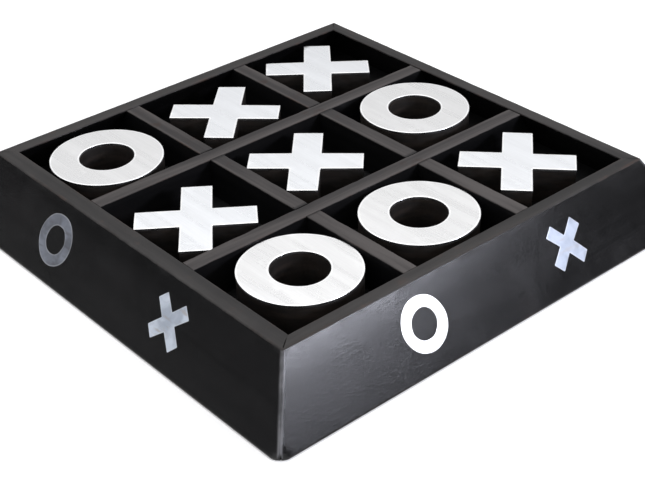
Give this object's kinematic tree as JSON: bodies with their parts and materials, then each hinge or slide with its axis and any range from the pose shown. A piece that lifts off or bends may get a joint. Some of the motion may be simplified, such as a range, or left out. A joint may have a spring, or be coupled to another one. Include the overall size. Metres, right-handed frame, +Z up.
{
  "type": "tic tac toe set",
  "caption": "Wooden tray with flared walls and crossed dividers forming a three by three grid, holding loose metal-faced X and O playing pieces, with O and X inlays in its sides.",
  "frame": {"origin": "centre of the base, on the surface the set stands on", "axes": "+Z up; -Y is the front side, -X the left side; the dividers run along X and Y"},
  "size_m": [0.356, 0.356, 0.047],
  "materials": {
    "tray": "black stained wood, satin on the sloping faces and rubbed dull grey-brown on the rim",
    "divider": "black stained wood, dull, rubbed grey-brown along the top edges",
    "floor": "black stained wood, matte",
    "block": "dark brown stained wood, dull",
    "plate": "satin, finely brushed, with a bright trimmed edge",
    "inlay": "satin, hand-cut, slightly worn at the edges"
  },
  "bodies": {
    "tray": {"wall_front": "tray", "wall_right": "tray", "wall_back": "tray", "wall_left": "tray", "inlay_front_o": "inlay", "inlay_front_x": "inlay", "inlay_right_o": "inlay", "inlay_right_x": "inlay", "inlay_back_o": "inlay", "inlay_back_x": "inlay", "inlay_left_o": "inlay", "inlay_left_x": "inlay", "floor_panel": "floor", "divider_front": "divider", "divider_back": "divider", "divider_left": "divider", "divider_right": "divider"},
    "x_piece_1": {"x_block_1": "block", "x_plate_1": "plate"},
    "x_piece_2": {"x_block_2": "block", "x_plate_2": "plate"},
    "x_piece_3": {"x_block_3": "block", "x_plate_3": "plate"},
    "x_piece_4": {"x_block_4": "block", "x_plate_4": "plate"},
    "x_piece_5": {"x_block_5": "block", "x_plate_5": "plate"},
    "o_piece_1": {"o_block_1": "block", "o_plate_1": "plate"},
    "o_piece_2": {"o_block_2": "block", "o_plate_2": "plate"},
    "o_piece_3": {"o_block_3": "block", "o_plate_3": "plate"},
    "o_piece_4": {"o_block_4": "block", "o_plate_4": "plate"}
  },
  "joints": [
    {"name": "x_piece_1_lift", "type": "slide", "parent": "tray", "child": "x_piece_1", "axis": [0, 0, 1], "range_m": [0, 0.045]},
    {"name": "x_piece_2_lift", "type": "slide", "parent": "tray", "child": "x_piece_2", "axis": [0, 0, 1], "range_m": [0, 0.045]},
    {"name": "x_piece_3_lift", "type": "slide", "parent": "tray", "child": "x_piece_3", "axis": [0, 0, 1], "range_m": [0, 0.045]},
    {"name": "x_piece_4_lift", "type": "slide", "parent": "tray", "child": "x_piece_4", "axis": [0, 0, 1], "range_m": [0, 0.045]},
    {"name": "x_piece_5_lift", "type": "slide", "parent": "tray", "child": "x_piece_5", "axis": [0, 0, 1], "range_m": [0, 0.045]},
    {"name": "o_piece_1_lift", "type": "slide", "parent": "tray", "child": "o_piece_1", "axis": [0, 0, 1], "range_m": [0, 0.045]},
    {"name": "o_piece_2_lift", "type": "slide", "parent": "tray", "child": "o_piece_2", "axis": [0, 0, 1], "range_m": [0, 0.045]},
    {"name": "o_piece_3_lift", "type": "slide", "parent": "tray", "child": "o_piece_3", "axis": [0, 0, 1], "range_m": [0, 0.045]},
    {"name": "o_piece_4_lift", "type": "slide", "parent": "tray", "child": "o_piece_4", "axis": [0, 0, 1], "range_m": [0, 0.045]}
  ]
}
